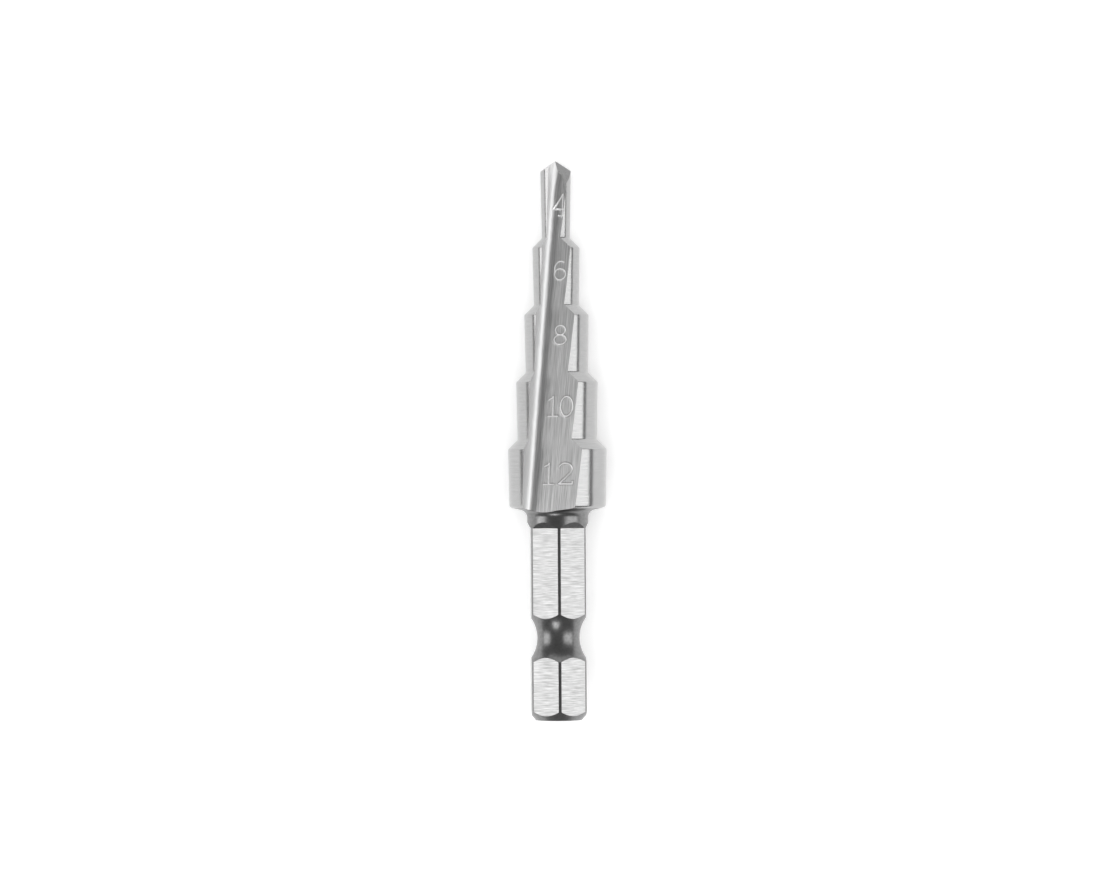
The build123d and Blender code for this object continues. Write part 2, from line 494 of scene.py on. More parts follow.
def shares_with_creases(name, share):
    """The shares along a piece, with one added, or the nearest moved, where a crease of the point ends."""
    trial = np.linspace(0, 1, TRIAL_SHARES)
    azimuths = azimuth_of(pieces[name](trial, top_end(pieces[name], trial)))
    for crease in creases:
        off = turn_from(crease, azimuths)
        crossing = np.nonzero(((off[:-1] <= 0) != (off[1:] <= 0)) & (np.abs(off[:-1]) < NEAR_CREASE))[0]
        for i in crossing:
            spot = trial[i] + (trial[i + 1] - trial[i]) * off[i] / (off[i] - off[i + 1])
            share = np.append(share[np.abs(share - spot) > CREASE_CLEARANCE / len(share)], spot)
    return np.unique(np.append(share, (0.0, 1.0)))


COARSE_EVEN = {"hollow": np.linspace(0, 1, 25), "floor": np.linspace(0, 1, 19), "land": np.linspace(0, 1, 41)}
FINE_EVEN = {"hollow": np.concatenate((np.linspace(0, 0.5, 13), np.linspace(0.5, 1, 25)[1:])),
             "floor": np.linspace(0, 1, 105)}
coarse_shares = {name: shares_with_creases(name, even) for name, even in COARSE_EVEN.items()}
fine_shares = {name: shares_with_creases(name, even) for name, even in FINE_EVEN.items()}
print("columns", {name: len(share) for name, share in coarse_shares.items()})

# %% [markdown]
# The rows between those ends are level in the middle, where the steps are, and bend with the ends
# above and below. The offsets near the back follow the rounded rim closely.

# %% Columns of points
RIM_OFFSETS = BACK_RIM_ROUND * np.array((0.0, 0.02, 0.06, 0.14, 0.25, 0.4, 0.58, 0.78, 1.0))
CLIMB_SHARES = np.array((0.33, 0.67))
TOP_SHARES = np.array((0.2, 0.4, 0.58, 0.72, 0.83, 0.92, 1.0))


def column_heights(piece, share, levels):
    """Heights of the rows of each column: offsets from the back end, two more up to the first level, the
    levels, then shares of the rest up to the point."""
    back, top = back_end(piece, share), top_end(piece, share)
    low = back[:, None] + RIM_OFFSETS
    climb = low[:, -1:] + (FIRST_LEVEL - low[:, -1:]) * CLIMB_SHARES
    high = LAST_LEVEL + (top[:, None] - LAST_LEVEL) * TOP_SHARES
    return np.hstack((low, climb, np.broadcast_to(levels, (len(share), len(levels))), high))


def column_points(name, share, levels):
    """Points of a piece on the grid of its shares and its rows, as an array of columns by rows by 3."""
    height = column_heights(pieces[name], share, levels)
    flat = pieces[name](np.repeat(share, height.shape[1]), height.ravel()).reshape(*height.shape, 2)
    return np.concatenate((flat, height[..., None]), axis=-1)


def half_round(points):
    """The points turned half round the axis: X and Y change sign."""
    return points * (-1, -1, 1)


coarse = {name: column_points(name, share, level_height) for name, share in coarse_shares.items()}
coarse["land"][-1] = half_round(coarse["hollow"][0])
print({name: grid.shape for name, grid in coarse.items()})

# %% [markdown]
# All parts of the surface are collected as patches of points and faces, and welded into one closed
# skin at the end. Each patch has a finish, and each of its points has grain coordinates, which say how
# the grinding lines run there, and a share from 0 to 1 that tells how much a stamp has struck it. A
# grid patch joins neighbouring points into quads.

# %% Patches
FINISHES = ["ground_land", "ground_flute", "ground_point", "ground_flat", "black_oxide"]
GRAIN_RADIUS = 4

patches = []


def add_patch(points, faces, finish, grain, struck=0.0):
    """Keeps a patch: its points, faces as index lists, number of the finish, grain and struck shares."""
    points = np.asarray(points, float).reshape(-1, 3)
    struck = np.broadcast_to(np.ravel(struck), len(points))
    patches.append((points, faces, FINISHES.index(finish), grain.reshape(-1, 2), struck))


def round_grain(points):
    """Grain coordinates of a turned surface, in millimetres: the way round at one radius, and the height.
    The way round is counted from the middle of the patch, so that it has no jump inside it."""
    points = np.asarray(points, float).reshape(-1, 3)
    middle = azimuth_of(points[:, :2].mean(0))
    off = turn_from(middle, azimuth_of(points))
    return np.stack((np.radians(off + middle) * GRAIN_RADIUS, points[:, 2]), axis=-1)


def flute_grain(grid, border):
    """Grain coordinates of a flute, in millimetres: the height, and the distance across it from the border
    between hollow and floor, which runs as the grinding does."""
    across = np.cumsum(np.linalg.norm(np.diff(grid, axis=0, prepend=grid[:1]), axis=-1), axis=0)
    return np.stack((across - across[border], grid[..., 2]), axis=-1)


def closed(grid):
    """The grid with its first column once more at the end, so that it closes round the drill."""
    return np.concatenate((grid, grid[:1]))


def quads(columns, rows):
    """Faces of a grid: each joins a point to the next in its row and in its column."""
    i, j = np.meshgrid(np.arange(columns - 1), np.arange(rows - 1), indexing="ij")
    corner = (i * rows + j).ravel()
    return np.stack((corner, corner + rows, corner + rows + 1, corner + 1), axis=-1).tolist()


def add_grid(grid, finish, grain, struck=0.0):
    """Keeps a grid patch, with a face between each four neighbouring points."""
    add_patch(grid, quads(*grid.shape[:2]), finish, grain, struck)


back_flute = half_round(np.concatenate((coarse["hollow"][:-1], coarse["floor"])))
add_grid(back_flute, "ground_flute", flute_grain(back_flute, len(coarse["hollow"]) - 1))
land = coarse["land"]
for grid in (land[1:], half_round(land[:-1])):
    add_grid(grid, "ground_land", round_grain(grid))
print(len(patches), "patches")

# %% [markdown]
# The hole sizes are stamped into the floor of one flute, next to their steps. A stamped stroke is a
# shallow groove with straight sides and a low burr pushed up on both sides. Its depth is a formula of
# the distance to the stroke's middle line, so a numeral is only its lines and arcs, in units of its
# height, and a fine grid follows the formula.

# %% Strokes of the numerals


def arc(centre, radii, first, last, count):
    """Points of an ellipse's arc: its centre, plus each radius times the cosine or the sine of the angle."""
    angle = np.radians(np.linspace(first, last, count))
    return np.array(centre) + np.array(radii) * np.stack((np.cos(angle), np.sin(angle)), axis=-1)


STROKES = {
    "0": [arc((0.0, 0.5), (0.28, 0.5), 0, 360, 33)],
    "1": [[(-0.17, 0.84), (-0.02, 0.92), (0.02, 1.0), (0.02, 0.0)], [(-0.2, 0.0), (0.24, 0.0)]],
    "2": [np.vstack((arc((0.0, 0.72), (0.28, 0.28), 165, -40, 17),
                     [(-0.02, 0.28), (-0.28, 0.02), (0.3, 0.02)])),
          [(0.3, 0.02), (0.31, 0.14)]],
    "4": [[(0.1, 0.0), (0.1, 1.0), (-0.27, 0.3), (0.21, 0.3)], [(-0.07, 0.0), (0.2, 0.0)]],
    "6": [np.vstack((arc((0.04, 0.6), (0.3, 0.4), 62, 180, 13),
                     arc((0.0, 0.3), (0.27, 0.3), 180, 540, 27)))],
    "8": [arc((0.0, 0.75), (0.22, 0.25), 0, 360, 27), arc((0.0, 0.25), (0.27, 0.25), 0, 360, 27)],
}


def stroke_distance(along, height, strokes):
    """Distance from each point to the nearest stroke: for each short line, the foot of the perpendicular,
    held between the line's ends."""
    spots = np.stack((along, height), axis=-1)[..., None, :]
    starts = np.vstack([np.asarray(stroke)[:-1] for stroke in strokes])
    runs = np.vstack([np.diff(np.asarray(stroke), axis=0) for stroke in strokes])
    share = np.clip(((spots - starts) * runs).sum(-1) / (runs ** 2).sum(-1), 0, 1)
    return np.linalg.norm(spots - starts - share[..., None] * runs, axis=-1).min(-1)


STAMP_DEPTH = 0.045
STAMP_HALF_WIDTH = 0.09
BURR_HEIGHT = 0.018
BURR_HALF_WIDTH = 0.035


def stamp(distance):
    """Height over the floor: down two straight sides within the half width, then up in a round burr."""
    groove = -STAMP_DEPTH * np.clip(1 - distance / STAMP_HALF_WIDTH, 0, None)
    beside = (distance - STAMP_HALF_WIDTH - BURR_HALF_WIDTH) / BURR_HALF_WIDTH
    return groove + BURR_HEIGHT * np.clip(1 - beside ** 2, 0, None)


# Each numeral: its text, the pixel of its middle, its top and bottom rows, its stretch and its advance
NUMERALS = [
    ("4", 560.4, 193.5, 215.0, 1.09, 0.0),
    ("6", 560.0, 260.8, 279.4, 1.17, 0.0),
    ("8", 560.0, 325.0, 344.2, 1.25, 0.0),
    ("10", 559.3, 396.3, 416.0, 1.2, 0.77),
    ("12", 556.6, 462.8, 484.0, 1.2, 0.87),
]
print("strokes", {digit: len(lines) for digit, lines in STROKES.items()})

# %% [markdown]
# Where a numeral stands comes from the picture: its pixel column and its top and bottom rows. The
# floor is a plane, so a pixel fixes one place on it. The grid of this flute gets close rows there, and
# some beyond, so that the shading of wide and close rows doesn't meet at a stroke. Every point moves
# along the floor's normal by the stamp's formula. Towards the heel the burrs fade out, and at both
# borders of the flute nothing moves, so that the patch still meets its neighbours.

# %% Numbered flute
STAMP_SPACING = 0.038
STRUCK_FULL = 0.012
STAMP_MARGIN = 0.27
HEEL_FADE = 0.07
AXIS_PIXEL_AT_TOP = 554.5
AXIS_PIXEL_SLANT = 0.0058
BOTTOM_PIXEL = 720.5
PIXELS_PER_MM_TALL = 8.6


def numeral_strokes(text, middle_pixel, top_pixel, bottom_pixel, stretch, advance):
    """Strokes of a numeral on the floor, in millimetres: its lines, stretched, shifted and scaled."""
    low, high = (BOTTOM_PIXEL - np.array((bottom_pixel, top_pixel))) / PIXELS_PER_MM_TALL
    axis_pixel = AXIS_PIXEL_AT_TOP + AXIS_PIXEL_SLANT * (top_pixel + bottom_pixel) / 2
    middle_x = (middle_pixel - axis_pixel) / PIXELS_PER_MM
    middle = (middle_x - floor_distance((low + high) / 2) * floor_faces[0]) / floor_runs[0]
    strokes = []
    for place, digit in enumerate(text):
        shift = (place - (len(text) - 1) / 2) * advance
        for line in STROKES[digit]:
            strokes.append((np.asarray(line) * (stretch, 1) + (shift, 0)) * (high - low) + (middle, low))
    return strokes


stamped = [numeral_strokes(*numeral) for numeral in NUMERALS]
spans = [(min(line[:, 1].min() for line in strokes) - STAMP_MARGIN,
          max(line[:, 1].max() for line in strokes) + STAMP_MARGIN) for strokes in stamped]
close_levels = np.concatenate([np.arange(low, high, STAMP_SPACING) for low, high in spans])
close_levels = close_levels[np.abs(close_levels[:, None] - level_height).min(1) > STAMP_SPACING / 4]
fine_levels = np.sort(np.concatenate((level_height, close_levels)))
fine = {name: column_points(name, share, fine_levels) for name, share in fine_shares.items()}
front = np.concatenate((fine["hollow"][:-1], fine["floor"]))

floor_climb = (BAR_RADIUS + RUN_OUT_CLEARANCE - WEB_HALF) / (OVERALL_LENGTH - BODY_START)
floor_normal = np.array((*floor_faces, floor_climb))
floor_normal /= np.linalg.norm(floor_normal)
along = front[..., :2] @ floor_runs
to_heel = np.clip((along[-1] - along) / HEEL_FADE, 0, 1)
rise = np.zeros_like(along)
for strokes, (low, high) in zip(stamped, spans):
    rows = np.nonzero((front[0, :, 2] > low) & (front[0, :, 2] < high))[0]
    part = slice(rows[0], rows[-1] + 1)
    rise[:, part] = stamp(stroke_distance(along[:, part], front[:, part, 2], strokes))
rise[rise > 0] *= to_heel[rise > 0]
rise *= to_heel > 0
rise[0] = 0
grain = flute_grain(front, len(fine["hollow"]) - 1)
front += rise[..., None] * floor_normal
add_grid(front, "ground_flute", grain, np.clip(-rise / STRUCK_FULL, 0, 1))
print("numbered flute", front.shape, "deepest", round(rise.min(), 3), "highest", round(rise.max(), 3))

# %% [markdown]
# The lands have far fewer rows than the numbered flute. A strip of triangles joins the last column of
# a land to the border of the flute: each row step on one side gets the point across that is next to it.

# %% Strips between close and wide rows
first_rows = len(RIM_OFFSETS) + len(CLIMB_SHARES)
coarse_label = np.arange(land.shape[1])
fine_label = np.concatenate((np.arange(first_rows),
                             first_rows + np.interp(fine_levels, level_height, np.arange(len(level_height))),
                             np.arange(first_rows + len(level_height), land.shape[1])))


def strip(close, wide):
    """Triangles between a column of close rows and one of wide rows, in the order of their row numbers."""
    n, m = len(close), len(wide)
    across_close = np.clip(np.searchsorted(coarse_label, fine_label[1:], "left") - 1, 0, m - 1)
    across_wide = np.searchsorted(fine_label, coarse_label[1:], "right") - 1
    i, j = np.arange(n - 1), np.arange(m - 1)
    faces = np.concatenate((np.stack((i, i + 1, n + across_close), axis=-1),
                            np.stack((n + j, across_wide, n + j + 1), axis=-1)))
    return np.vstack((close, wide)), faces.tolist()


for close, wide in ((front[-1], land[1]), (front[0], half_round(land[-2]))):
    points, faces = strip(close, wide)
    add_patch(points, faces, "ground_land", round_grain(points))
    print("strip of", len(faces), "triangles")

# %% [markdown]
# The point closes the top: from the tip, each column end is reached along a straight line, because all
# planes pass through the tip. A few rings between keep the triangles short.

# %% Point facets
RING_POINTS = 6


def loop_of(row):
    """Loop of one row round the body: numbered flute, land, then the plain flute and its land half round."""
    plain = np.vstack([coarse[name][:-1, row] for name in ("hollow", "floor", "land")])
    return np.vstack((front[:-1, row], land[:-1, row], half_round(plain)))


top_loop = loop_of(-1)
tip = np.array((0, 0, OVERALL_LENGTH))
fan = tip + np.linspace(0, 1, RING_POINTS)[None, :, None] * (closed(top_loop)[:, None] - tip)
add_grid(fan[:, 1:], "ground_point", fan[:, 1:, :2])
tip_fan = np.vstack((tip, fan[:, 1]))
add_patch(tip_fan, [[0, 1 + i, 2 + i] for i in range(len(top_loop))], "ground_point", tip_fan[:, :2])
print("top loop", len(top_loop), "columns, lowest", round(top_loop[:, 2].min(), 2))

# %% [markdown]
# Behind the body the columns run in over the back face and the flare to the round neck. The rake walls
# overhang there, so the columns are also turned a little on their way in, which keeps them apart.

# %% Back face and neck
NECK_LEVEL = 23.3
NECK_AZIMUTHS = {"hollow": (-150.0, -129.0), "floor": (-129.0, -66.0), "land": (-66.0, 30.0)}
FLAT_COUNT = 6
FLAT_TURN = 360 / FLAT_COUNT
STRIP_HALF_ANGLE = np.degrees(np.arccos(HALF_ACROSS_FLATS / BAR_RADIUS))
RING_COUNT = 17


def neck_turn(shares):
    """Azimuths of the neck's columns over half a turn: each piece's range, shared out like its columns."""
    return np.concatenate([np.interp(shares[name][:-1], (0, 1), ends)
                           for name, ends in NECK_AZIMUTHS.items()])


neck_azimuth = np.concatenate((neck_turn({**coarse_shares, **fine_shares}), neck_turn(coarse_shares) + 180))
corners = FIRST_CORNER_AZIMUTH + FLAT_TURN * np.arange(FLAT_COUNT)
strip_reach = FLAT_TURN / 2 - STRIP_HALF_ANGLE
for border in np.concatenate((corners - strip_reach, corners + strip_reach)):
    off = turn_from(border, neck_azimuth)
    nearest = np.abs(off).argmin()
    neck_azimuth[nearest] -= off[nearest]
print("neck columns still in order:", bool((np.diff(neck_azimuth) > 0).all()))


def around(radius, azimuth, height):
    """Points from their radius, azimuth and height: X and Y are the radius times the heading."""
    return np.concatenate((radius[..., None] * heading(azimuth), height[..., None]), axis=-1)


back_loop = loop_of(0)
start_radius = np.linalg.norm(back_loop[:, :2], axis=1)
start_azimuth = np.degrees(np.unwrap(np.radians(azimuth_of(back_loop)), period=2 * np.pi))
start_azimuth += 360 * np.round((neck_azimuth[0] - start_azimuth[0]) / 360)
line = np.vstack(((BAR_RADIUS, NECK_LEVEL), back_profile))
length = np.concatenate(((0,), np.cumsum(np.linalg.norm(np.diff(line, axis=0), axis=1))))
start_length = np.interp(start_radius, line[1:, 0], length[1:])
share = np.linspace(0, 1, RING_COUNT)
run = start_length[:, None] * (1 - share)
turned = share * (2 - share)
ring_azimuth = start_azimuth[:, None] + (neck_azimuth - start_azimuth)[:, None] * turned
ring = around(np.interp(run, length, line[:, 0]), ring_azimuth, np.interp(run, length, line[:, 1]))
ring[:, 0] = back_loop
ring_grain = np.stack((np.radians(ring_azimuth) * GRAIN_RADIUS, length[-1] - run), axis=-1)
closed_grain = np.concatenate((ring_grain, ring_grain[:1] + (np.radians(360) * GRAIN_RADIUS, 0)))
add_grid(closed(ring), "black_oxide", closed_grain)
print("back loop", len(back_loop), "columns, widest", round(start_radius.max(), 2))

# %% [markdown]
# The shank is a round bar. Six flats are milled on it, a round waist takes the ball of a quick-change
# chuck, and the end is chamfered. Its radius at an azimuth and a height is the smallest of those four,
# and the rows run exactly along the borders between them, because those have formulas too.

# %% Shank
# Rows in the chamfer, lower flats, waist, upper flats, run-out and neck, and which of these get the
# # ground finish. The run-out is milled too, but gets the dark oxide, as painted shade
ZONE_ROWS = [3, 4, 24, 6, 4, 2]
FLAT_ZONES = (1, 3)
ANGLE_SLACK = 0.01
END_RINGS = np.array((1.0, 0.72, 0.42, 0.15))

off_flat = (neck_azimuth - FIRST_CORNER_AZIMUTH) % FLAT_TURN - FLAT_TURN / 2
flat_radius = np.minimum(HALF_ACROSS_FLATS / np.cos(np.radians(off_flat)), BAR_RADIUS)
bar_reach = BAR_RADIUS * np.cos(np.radians(off_flat)) - HALF_ACROSS_FLATS
run_out_top = FLAT_LENGTH + np.clip(bar_reach, 0, None) / slope(FLAT_RUN_OUT_ANGLE)
waist_half = np.sqrt(WAIST_ARC_RADIUS ** 2 - (WAIST_RADIUS + WAIST_ARC_RADIUS - flat_radius) ** 2)
chamfer_top = (flat_radius - END_FACE_RADIUS) * slope(END_CHAMFER_STEEPNESS)


def shank_radius(height):
    """Radius of the shank: the smallest of the bar, the flats and their run-out, the waist, the chamfer."""
    flat = HALF_ACROSS_FLATS + np.clip(height - FLAT_LENGTH, 0, None) * slope(FLAT_RUN_OUT_ANGLE)
    flat = flat / np.cos(np.radians(off_flat))[:, None]
    off = np.clip(np.abs(height - WAIST_HEIGHT), 0, WAIST_ARC_RADIUS)
    waist = WAIST_RADIUS + WAIST_ARC_RADIUS - np.sqrt(WAIST_ARC_RADIUS ** 2 - off ** 2)
    waist = np.where(off < WAIST_ARC_RADIUS, waist, BAR_RADIUS)
    chamfer = END_FACE_RADIUS + height / slope(END_CHAMFER_STEEPNESS)
    return np.minimum.reduce((np.full_like(height, BAR_RADIUS), flat, waist, chamfer))


borders = [np.zeros_like(flat_radius), chamfer_top, WAIST_HEIGHT - waist_half, WAIST_HEIGHT + waist_half,
           np.full_like(flat_radius, FLAT_LENGTH), run_out_top, np.full_like(flat_radius, NECK_LEVEL)]
zone = np.repeat(np.arange(len(ZONE_ROWS)), ZONE_ROWS)
parts = [low[:, None] + (high - low)[:, None] * np.arange(rows) / rows
         for low, high, rows in zip(borders[:-1], borders[1:], ZONE_ROWS)]
shank_height = np.hstack(parts + [borders[-1][:, None]])
shank = around(shank_radius(shank_height), neck_azimuth[:, None], shank_height)
shank[:, -1] = ring[:, -1]
faces = np.array(quads(len(shank) + 1, shank.shape[1])).reshape(len(neck_azimuth), -1, 4)
shank_azimuth = np.append(neck_azimuth, neck_azimuth[0] + 360)
closed_height = closed(shank_height)
way_round = np.broadcast_to(np.radians(shank_azimuth)[:, None] * GRAIN_RADIUS, closed_height.shape)
shank_grain = np.stack((way_round, closed_height), axis=-1)
flat_span = np.minimum(np.abs(off_flat), np.abs(np.roll(off_flat, -1))) < STRIP_HALF_ANGLE - ANGLE_SLACK
flat_faces = flat_span[:, None] & np.isin(zone, FLAT_ZONES)
add_patch(closed(shank), faces[flat_faces].tolist(), "ground_flat", shank_grain)
# The run-out zone is milled, but takes the dark oxide here, as painted shade
add_patch(closed(shank), faces[~flat_faces].tolist(), "black_oxide", shank_grain)

end_rings = END_RINGS[None, :, None] * (closed(shank[:, 0])[:, None] * (1, 1, 0))
add_grid(end_rings, "black_oxide", end_rings[..., :2])
centre_fan = np.vstack((end_rings[:, -1], (0, 0, 0)))
last = len(end_rings)
add_patch(centre_fan, [[i, i + 1, last] for i in range(last - 1)], "black_oxide", centre_fan[:, :2])
print("shank", shank.shape, "strip half angle", round(STRIP_HALF_ANGLE, 2))

# %% [markdown]
# Now the patches are welded into one closed skin. Points that coincide are merged, faces that shrank
# to nothing go with them, and the normals are made to point outwards. Every edge then has exactly two
# faces. Edges sharper than 24 degrees stay sharp, and the rest is shaded smoothly.

# %% Weld
WELD_MM = 0.0008
SHARP_ANGLE = 24.0

point_sets, face_sets, finish_sets, grain_sets, struck_sets = zip(*patches)
all_points = np.vstack(point_sets)
all_grain = np.vstack(grain_sets)
offsets = np.cumsum([0] + [len(points) for points in point_sets])
all_faces = [[offset + i for i in face] for offset, faces in zip(offsets, face_sets) for face in faces]
all_finishes = np.concatenate([np.full(len(faces), finish) for faces, finish in zip(face_sets, finish_sets)])

mesh = bpy.data.meshes.new("step_drill_skin")
mesh.from_pydata(on_table(all_points).tolist(), [], all_faces)
mesh.polygons.foreach_set("material_index", all_finishes.astype(np.int32))
corner_points = np.empty(len(mesh.loops), np.int32)
mesh.loops.foreach_get("vertex_index", corner_points)
mesh.uv_layers.new(name="grain").uv.foreach_set("vector", all_grain[corner_points].astype(np.float32).ravel())
struck = mesh.attributes.new("struck", "FLOAT", "POINT")
struck.data.foreach_set("value", np.concatenate(struck_sets).astype(np.float32))
shell = bmesh.new()
shell.from_mesh(mesh)
bmesh.ops.remove_doubles(shell, verts=shell.verts, dist=WELD_MM / 1000)
loose = [vert for vert in shell.verts if not vert.link_faces]
bmesh.ops.delete(shell, geom=loose, context="VERTS")
bmesh.ops.recalc_face_normals(shell, faces=shell.faces)
open_edges = [edge for edge in shell.edges if len(edge.link_faces) != 2]
print("open edges", len(open_edges), "volume", round(shell.calc_volume() * 1e9, 1), "mm3")
shell.to_mesh(mesh)
shell.free()
mesh.shade_smooth()
mesh.set_sharp_from_angle(angle=np.radians(SHARP_ANGLE))
drill = add_object("step_drill_body", mesh)
mesh.calc_loop_triangles()
print("triangles", len(mesh.loop_triangles))

# %% [markdown]
# The finishes come from how the tool was made. High-speed steel is a pale, neutral grey metal. Grinding
# leaves fine parallel lines, round the steps, along the flutes and across the flats. What was never
# ground keeps the black oxide of the hardening shop. The milled run-out of the flats gets it too, as
# painted shade. One recipe makes all five metals: noise, stretched into lines along the grain
# coordinates. These helpers turn colours into light and add nodes.

# %% Helpers for materials


def linear(hex_colour):
    """sRGB hex to linear light: each channel over 12.92 when dark, else its 2.4th power curve."""
    channels = np.array([int(hex_colour[i:i + 2], 16) for i in (1, 3, 5)]) / 255
    values = np.where(channels <= 0.04045, channels / 12.92, ((channels + 0.055) / 1.055) ** 2.4)
    return (*values.tolist(), 1.0)


def cleared_tree(block):
    """Node tree of a material or a world, emptied."""
    block.use_nodes = True
    block.node_tree.nodes.clear()
    return block.node_tree


def add_node(tree, kind, settings=None, links=None):
    """Adds a node, with its settings by property or socket name, and its links by socket name. Where sockets
    share a name, their number stands for it."""
    node = tree.nodes.new(kind)
    for name, value in (settings or {}).items():
        if isinstance(name, str) and name in node.bl_rna.properties:
            setattr(node, name, value)
        else:
            node.inputs[name].default_value = value
    for name, socket in (links or {}).items():
        tree.links.new(socket, node.inputs[name])
    return node


print("white in linear light:", linear("#ffffff"))

# %% [markdown]
# On the wall of the flutes and in the stamped strokes the metal is less of a mirror, and paler: the
# paler colour is painted highlight, which stands in for the light they catch. All else in a finish
# follows the grinding lines: the tint, the gloss and fine ridges, and the highlights are drawn out
# across them.

# %% Finishes
WALL_START = 0.8
WALL_FULL = 1.1
NOISE_SPAN = (0.3, 0.7)
RIDGE_METRES = 0.00001
QUARTER_TURN = 0.25


def add_frost_and_painted_highlight(tree, shader, grain, tint, metallic, frost_and_highlight):
    """Makes a flute less metallic and paler on its wall, which starts at a run from the floor, and where a
    stamp has struck. The paler colour is painted highlight. The last argument holds the colour of the wall,
    the colour of the stamps and the metallic share of both."""
    place = add_node(tree, "ShaderNodeSeparateXYZ", links={"Vector": grain.outputs["UV"]})
    on_wall = add_node(tree, "ShaderNodeMapRange",
                       {"interpolation_type": "SMOOTHSTEP", "From Min": -WALL_START, "From Max": -WALL_FULL},
                       {"Value": place.outputs["X"]}).outputs["Result"]
    struck = add_node(tree, "ShaderNodeAttribute", {"attribute_name": "struck"}).outputs["Fac"]
    colour = tint.outputs["Color"]
    for share, pale in ((on_wall, frost_and_highlight[0]), (struck, frost_and_highlight[1])):
        mixed = add_node(tree, "ShaderNodeMix", {"data_type": "RGBA", 7: linear(pale)}, {0: share, 6: colour})
        colour = mixed.outputs[2]
    either = add_node(tree, "ShaderNodeMath", {"operation": "MAXIMUM"}, {0: on_wall, 1: struck})
    metal = add_node(tree, "ShaderNodeMapRange", {"To Min": metallic, "To Max": frost_and_highlight[2]},
                     {"Value": either.outputs["Value"]})
    tree.links.new(colour, shader.inputs["Base Color"])
    tree.links.new(metal.outputs["Result"], shader.inputs["Metallic"])


def ground_metal(name, colours, spread, roughness, lines_per_mm, across, bump,
                 metallic=1.0, drawn=0.6, frost_and_highlight=None):
    """Gives the drill a metal with grinding lines: noise, stretched along the grain coordinates. It mixes the
    two colours within its middle spread, sets the roughness between two values and raises fine ridges. The
    reflection is drawn out at right angles to the lines."""
    material = bpy.data.materials.new(name)
    tree = cleared_tree(material)
    grain = add_node(tree, "ShaderNodeUVMap", {"uv_map": "grain"})
    stretched = add_node(tree, "ShaderNodeMapping", {"Scale": (*lines_per_mm, 1.0)},
                         {"Vector": grain.outputs["UV"]})
    lines = add_node(tree, "ShaderNodeTexNoise", {"Scale": 1.0, "Detail": 4.0, "Roughness": 0.6},
                     {"Vector": stretched.outputs["Vector"]})
    tint = add_node(tree, "ShaderNodeValToRGB", links={"Fac": lines.outputs["Fac"]})
    for stop, place, colour in zip(tint.color_ramp.elements, (0.5 - spread, 0.5 + spread), colours):
        stop.position = place
        stop.color = linear(colour)
    gloss = add_node(tree, "ShaderNodeMapRange",
                     dict(zip(("From Min", "From Max", "To Max", "To Min"), NOISE_SPAN + roughness)),
                     {"Value": lines.outputs["Fac"]})
    ridges = add_node(tree, "ShaderNodeBump", {"Strength": bump, "Distance": RIDGE_METRES},
                      {"Height": lines.outputs["Fac"]})
    way = add_node(tree, "ShaderNodeTangent", {"direction_type": "UV_MAP", "uv_map": "grain"})
    shader = add_node(tree, "ShaderNodeBsdfPrincipled",
                      {"Metallic": metallic, "Anisotropic": drawn,
                       "Anisotropic Rotation": QUARTER_TURN * across},
                      {"Base Color": tint.outputs["Color"], "Roughness": gloss.outputs["Result"],
                       "Normal": ridges.outputs["Normal"], "Tangent": way.outputs["Tangent"]})
    if frost_and_highlight:
        add_frost_and_painted_highlight(tree, shader, grain, tint, metallic, frost_and_highlight)
    add_node(tree, "ShaderNodeOutputMaterial", links={"Surface": shader.outputs["BSDF"]})
    mesh.materials.append(material)


# The metals come in the order of FINISHES. The lands are nearly plain, so the dark line along each of
# them, a reflection of the sheet's edge, stays thin and straight.
ground_metal("ground_steel_land", ("#a9a9a9", "#b7b7b7"), 0.2, (0.225, 0.24), (0.5, 7.0), True, 0.02)
# The flutes have long streaks that run down the floor, and a frosted wall. The wall and the stamped
# # strokes are painted paler, as painted highlight
ground_metal("ground_steel_flute", ("#a8a8a8", "#dadada"), 0.18, (0.28, 0.36), (9.0, 0.25), False, 0.2,
             metallic=0.85, frost_and_highlight=("#e4e4e4", "#f8f8f8", 0.5))
ground_metal("ground_steel_point", ("#b0b0b0", "#c0c0c0"), 0.2, (0.26, 0.32), (1.0, 7.0), False, 0.1)
# The flats show the clearest lines, straight across the shank
ground_metal("ground_steel_flat", ("#a0a0a0", "#dadada"), 0.2, (0.3, 0.36), (0.45, 9.0), True, 0.15)
# The oxide is darker and has no direction, so its highlights are round
ground_metal("black_oxide_steel", ("#7a7a7a", "#8c8c8c"), 0.2, (0.28, 0.34), (2.0, 3.0), True, 0.1, drawn=0.0)
print([material.name for material in mesh.materials])

# %% [markdown]
# The piece stands for the CAD solid of the drill and rides on its only body.

# %% Tie to the frame
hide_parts("step_drill")
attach(drill, "root")
print(drill.name, "stands for the solid step_drill")

# %% [markdown]
# The stage is one narrow sheet of white board under the drill, bent up beyond the point. What lies past
# its long edges is darker, and its reflection draws the thin dark line along each land. A veil lifts
# the board to plain white for the camera and for what the metal mirrors, and the drill's shadow stays.

# %% Stage
SHEET_HALF = 0.11
SHEET_LINE = [(-0.11, 0.0), (0.2, 0.0), (0.27, 0.02), (0.32, 0.07), (0.34, 0.14)]
VEIL = 0.27


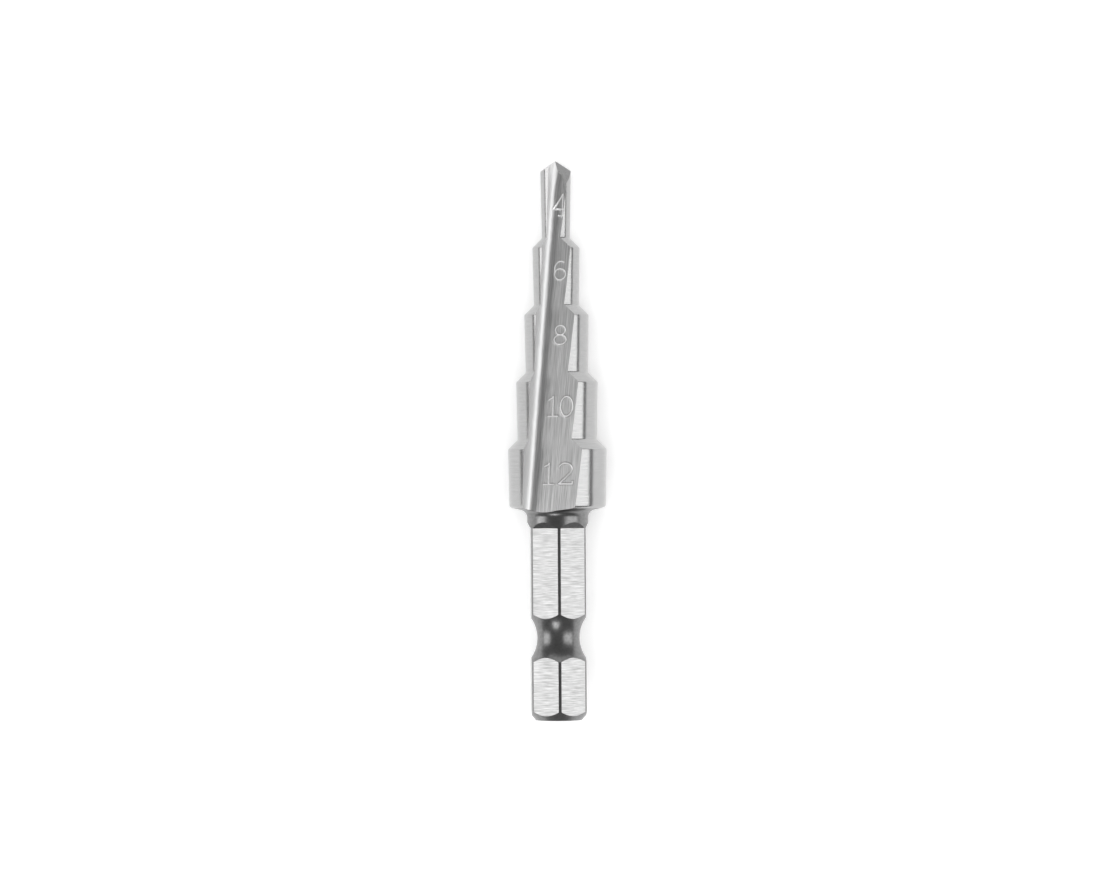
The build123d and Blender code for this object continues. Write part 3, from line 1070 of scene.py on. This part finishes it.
def white_board():
    """Matt white, plus the veil, which counts for camera, glossy and transmission rays alone."""
    material = bpy.data.materials.new("matt_white_board")
    tree = cleared_tree(material)
    board = add_node(tree, "ShaderNodeBsdfDiffuse", {"Color": linear("#fafafa")})
    rays = add_node(tree, "ShaderNodeLightPath")
    seen = rays.outputs["Is Camera Ray"]
    for kind in ("Is Glossy Ray", "Is Transmission Ray"):
        either = add_node(tree, "ShaderNodeMath", {"operation": "MAXIMUM"}, {0: seen, 1: rays.outputs[kind]})
        seen = either.outputs["Value"]
    strength = add_node(tree, "ShaderNodeMath", {"operation": "MULTIPLY", 1: VEIL}, {0: seen})
    veil = add_node(tree, "ShaderNodeEmission", {"Color": linear("#ffffff")},
                    {"Strength": strength.outputs["Value"]})
    both = add_node(tree, "ShaderNodeAddShader",
                    links={0: board.outputs["BSDF"], 1: veil.outputs["Emission"]})
    add_node(tree, "ShaderNodeOutputMaterial", links={"Surface": both.outputs["Shader"]})
    return material


sheet = bpy.data.meshes.new("stage_floor")
sheet.from_pydata([(x, y, z) for y, z in SHEET_LINE for x in (-SHEET_HALF, SHEET_HALF)], [],
                  [(i, i + 1, i + 3, i + 2) for i in range(0, 2 * len(SHEET_LINE) - 2, 2)])
sheet.materials.append(white_board())
add_object("stage_floor", sheet)
print("sheet of", len(sheet.polygons), "strips")

# %% [markdown]
# Bare metal shows its surroundings, so the lamps are placed by what they do in the picture. Two soft
# boxes stand beside the drill, a window beyond the shank gives the neck and the waist their highlights,
# a fill stands beyond the point, and a key lights all of it from the camera's side without showing in
# the metal. The sky is dim.

# %% Lamps and sky
SKY = 0.2


def soft_box(name, aside, up_picture, distance, across, tall, brightness):
    """A flat lamp that faces the drill, from so many degrees aside of the camera and up the picture. It
    covers two angles, and its power is its brightness times pi times its area."""
    aside, up_picture = np.radians(aside), np.radians(up_picture)
    level = np.cos(up_picture)
    towards = np.array((np.sin(aside) * level, np.sin(up_picture), np.cos(aside) * level))
    lamp = bpy.data.lights.new(name, "AREA")
    lamp.shape = "RECTANGLE"
    lamp.size = 2 * distance * slope(across / 2)
    lamp.size_y = 2 * distance * slope(tall / 2)
    lamp.energy = brightness * np.pi * lamp.size * lamp.size_y
    print(name, round(lamp.energy, 3), "W")
    holder = add_object(name, lamp)
    over = np.cross((0.0, 1.0, 0.0), towards)
    over /= np.linalg.norm(over)
    axes = np.column_stack((over, np.cross(towards, over), towards))
    holder.matrix_world = placed(axes, towards * distance)
    return holder


# Each lamp: degrees aside and up the picture, metres away, degrees across and tall, and brightness
soft_box("soft_box_left", -65, -3, 0.6, 38, 30, 2.1)
soft_box("soft_box_right", 57, -3, 0.6, 50, 30, 1.75)
soft_box("window_below", -12, -46, 0.6, 20, 16, 4.0)
soft_box("fill_behind", 15, 76, 0.6, 70, 26, 0.75)
key = soft_box("key_above", 0, 0, 1.2, 45, 45, 2.6)
key.visible_glossy = False

world = bpy.data.worlds.new("studio_sky")
bpy.context.scene.world = world
tree = cleared_tree(world)
sky = add_node(tree, "ShaderNodeBackground", {"Color": linear("#ffffff"), "Strength": SKY})
add_node(tree, "ShaderNodeOutputWorld", links={"Surface": sky.outputs["Background"]})

bpy.context.scene.view_settings.view_transform = "Standard"
